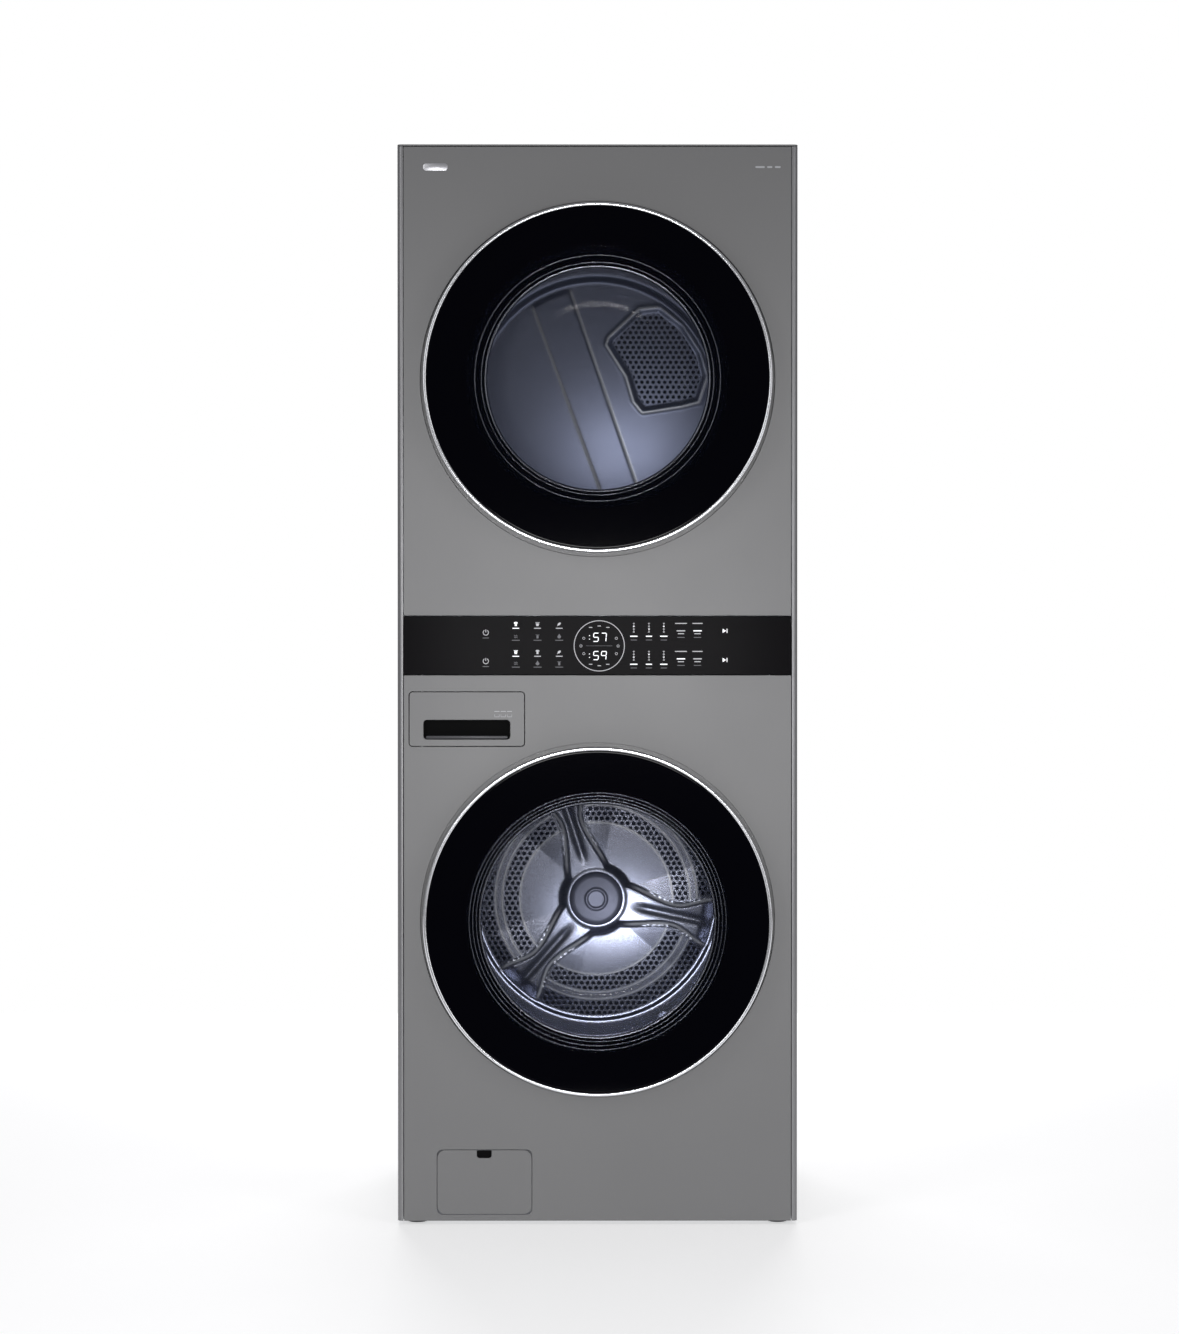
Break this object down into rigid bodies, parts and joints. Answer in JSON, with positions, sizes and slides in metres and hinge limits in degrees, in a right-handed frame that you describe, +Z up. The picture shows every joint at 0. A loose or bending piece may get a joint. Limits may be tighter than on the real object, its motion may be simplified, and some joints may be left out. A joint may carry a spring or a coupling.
{
  "type": "laundry tower",
  "caption": "Tall laundry tower in graphite steel: a round-door clothes dryer above a round-door front-loading washer, with a black touch control panel between them.",
  "frame": {"origin": "centre of the box's bottom face, on the floor under the middle of the tower", "axes": "+Z up, -Y out of the front with the doors, +X to the viewer's right"},
  "size_m": [0.7, 0.77, 1.89],
  "materials": {
    "graphite_steel": "satin",
    "galvanised_steel": "satin",
    "drum_steel": "brushed",
    "black_glass": "gloss",
    "tinted_glass": "gloss",
    "clear_glass": "gloss",
    "chrome_trim": "polished",
    "black_plastic": "gloss",
    "grey_plastic": "matte",
    "dark_plastic": "matte",
    "white_plastic": "matte",
    "rubber": "matte",
    "cast_aluminium": "cast",
    "steel_parts": "satin",
    "ballast": "rough",
    "copper_winding": "enamelled"
  },
  "bodies": {
    "cabinet": {"base_frame": "galvanised_steel", "side_panel_left": "graphite_steel", "side_panel_right": "graphite_steel", "top_panel": "graphite_steel", "rear_panel": "galvanised_steel", "dryer_front_panel": "graphite_steel", "washer_front_panel": "graphite_steel", "divider_shelf": "galvanised_steel", "control_fascia": "black_glass", "control_board": "dark_plastic", "dryer_front_bulkhead": "galvanised_steel", "dryer_rear_bulkhead": "galvanised_steel", "lint_filter": "grey_plastic", "blower_housing": "grey_plastic", "exhaust_duct": "galvanised_steel", "heater_box": "galvanised_steel", "dryer_motor": "steel_parts", "drive_belt": "rubber", "terminal_block": "galvanised_steel", "door_hinges": "steel_parts", "dispenser_housing": "grey_plastic", "inlet_valves": "white_plastic", "drain_pump": "grey_plastic", "damper_cylinders": "dark_plastic", "suspension_springs": "steel_parts", "door_gasket": "rubber", "tub_hoses": "rubber", "rear_screws": "steel_parts"},
    "dryer_door": {"dryer_door_glass": "tinted_glass", "dryer_door_trim": "chrome_trim", "dryer_door_frame": "black_plastic", "dryer_door_bowl": "clear_glass"},
    "washer_door": {"washer_door_glass": "tinted_glass", "washer_door_trim": "chrome_trim", "washer_door_frame": "black_plastic", "washer_door_bowl": "clear_glass"},
    "washer_door_hook": {"washer_door_hook": "steel_parts"},
    "dryer_drum": {"dryer_drum": "drum_steel"},
    "motor_shaft": {"motor_shaft": "grey_plastic"},
    "idler_arm": {"idler_arm": "steel_parts"},
    "idler_wheel": {"idler_wheel": "dark_plastic"},
    "roller_left": {"roller_left": "rubber"},
    "roller_right": {"roller_right": "rubber"},
    "tub": {"tub_front": "grey_plastic", "tub_rear": "grey_plastic", "counterweights": "ballast", "motor_stator": "copper_winding", "drum_bearings": "steel_parts", "damper_rods": "steel_parts"},
    "washer_drum": {"washer_drum": "drum_steel", "washer_lifters": "grey_plastic", "drum_spider": "cast_aluminium", "hub_cap": "chrome_trim", "motor_rotor": "steel_parts"},
    "detergent_drawer": {"detergent_drawer": "graphite_steel"},
    "filter_door": {"filter_door": "graphite_steel"},
    "foot_front_left": {"foot_front_left": "dark_plastic"},
    "foot_front_right": {"foot_front_right": "dark_plastic"},
    "foot_rear_left": {"foot_rear_left": "dark_plastic"},
    "foot_rear_right": {"foot_rear_right": "dark_plastic"}
  },
  "joints": [
    {"name": "dryer_door_hinge", "type": "hinge", "parent": "cabinet", "child": "dryer_door", "pos_m": [-0.294, -0.359, 1.48], "axis": [0, 0, -1], "range_deg": [0, 110]},
    {"name": "washer_door_hinge", "type": "hinge", "parent": "cabinet", "child": "washer_door", "pos_m": [-0.294, -0.359, 0.534], "axis": [0, 0, -1], "range_deg": [0, 110]},
    {"name": "door_hook_pivot", "type": "hinge", "parent": "washer_door", "child": "washer_door_hook", "pos_m": [0.26, -0.337, 0.534], "axis": [0, 0, 1], "range_deg": [0, 8], "stiffness_Nm_per_rad": 0.6, "springref_deg": -17.19},
    {"name": "dryer_drum_spin", "type": "hinge", "parent": "cabinet", "child": "dryer_drum", "pos_m": [0, 0, 1.48], "axis": [0, 1, 0], "continuous": true},
    {"name": "dryer_motor_spin", "type": "hinge", "parent": "cabinet", "child": "motor_shaft", "pos_m": [-0.2555, 0, 1.165], "axis": [0, 1, 0], "continuous": true},
    {"name": "roller_left_spin", "type": "hinge", "parent": "cabinet", "child": "roller_left", "pos_m": [-0.26452, 0, 1.25805], "axis": [0, 1, 0], "continuous": true},
    {"name": "roller_right_spin", "type": "hinge", "parent": "cabinet", "child": "roller_right", "pos_m": [0.26452, 0, 1.25805], "axis": [0, 1, 0], "continuous": true},
    {"name": "idler_arm_pivot", "type": "hinge", "parent": "cabinet", "child": "idler_arm", "pos_m": [-0.06704, 0, 1.098], "axis": [0, -1, 0], "range_deg": [0, 8], "stiffness_Nm_per_rad": 4, "springref_deg": -34.38},
    {"name": "idler_wheel_spin", "type": "hinge", "parent": "idler_arm", "child": "idler_wheel", "pos_m": [-0.13704, 0, 1.13841], "axis": [0, 1, 0], "continuous": true},
    {"name": "tub_bounce", "type": "slide", "parent": "cabinet", "child": "tub", "axis": [0, 0, 1], "range_m": [-0.012, 0.012], "stiffness_N_per_m": 30000, "springref_m": 0.01744, "deforming": ["suspension_springs", "door_gasket", "tub_hoses"]},
    {"name": "washer_drum_spin", "type": "hinge", "parent": "tub", "child": "washer_drum", "pos_m": [0, 0, 0.53], "axis": [0, 1, 0], "continuous": true},
    {"name": "drawer_slide", "type": "slide", "parent": "cabinet", "child": "detergent_drawer", "axis": [0, -1, 0], "range_m": [0, 0.2]},
    {"name": "filter_door_hinge", "type": "hinge", "parent": "cabinet", "child": "filter_door", "pos_m": [-0.198, -0.331, 0.028], "axis": [1, 0, 0], "range_deg": [0, 95]},
    {"name": "foot_front_left_screw", "type": "slide", "parent": "cabinet", "child": "foot_front_left", "axis": [0, 0, 1], "range_m": [-0.02, 0]},
    {"name": "foot_front_right_screw", "type": "slide", "parent": "cabinet", "child": "foot_front_right", "axis": [0, 0, 1], "range_m": [-0.02, 0]},
    {"name": "foot_rear_left_screw", "type": "slide", "parent": "cabinet", "child": "foot_rear_left", "axis": [0, 0, 1], "range_m": [-0.02, 0]},
    {"name": "foot_rear_right_screw", "type": "slide", "parent": "cabinet", "child": "foot_rear_right", "axis": [0, 0, 1], "range_m": [-0.02, 0]}
  ],
  "couplings": [
    {"joint": "dryer_motor_spin", "follows": "dryer_drum_spin", "ratio": 31.5},
    {"joint": "roller_left_spin", "follows": "dryer_drum_spin", "ratio": -10.5},
    {"joint": "roller_right_spin", "follows": "dryer_drum_spin", "ratio": -10.5},
    {"joint": "idler_wheel_spin", "follows": "dryer_drum_spin", "ratio": -17.5}
  ]
}
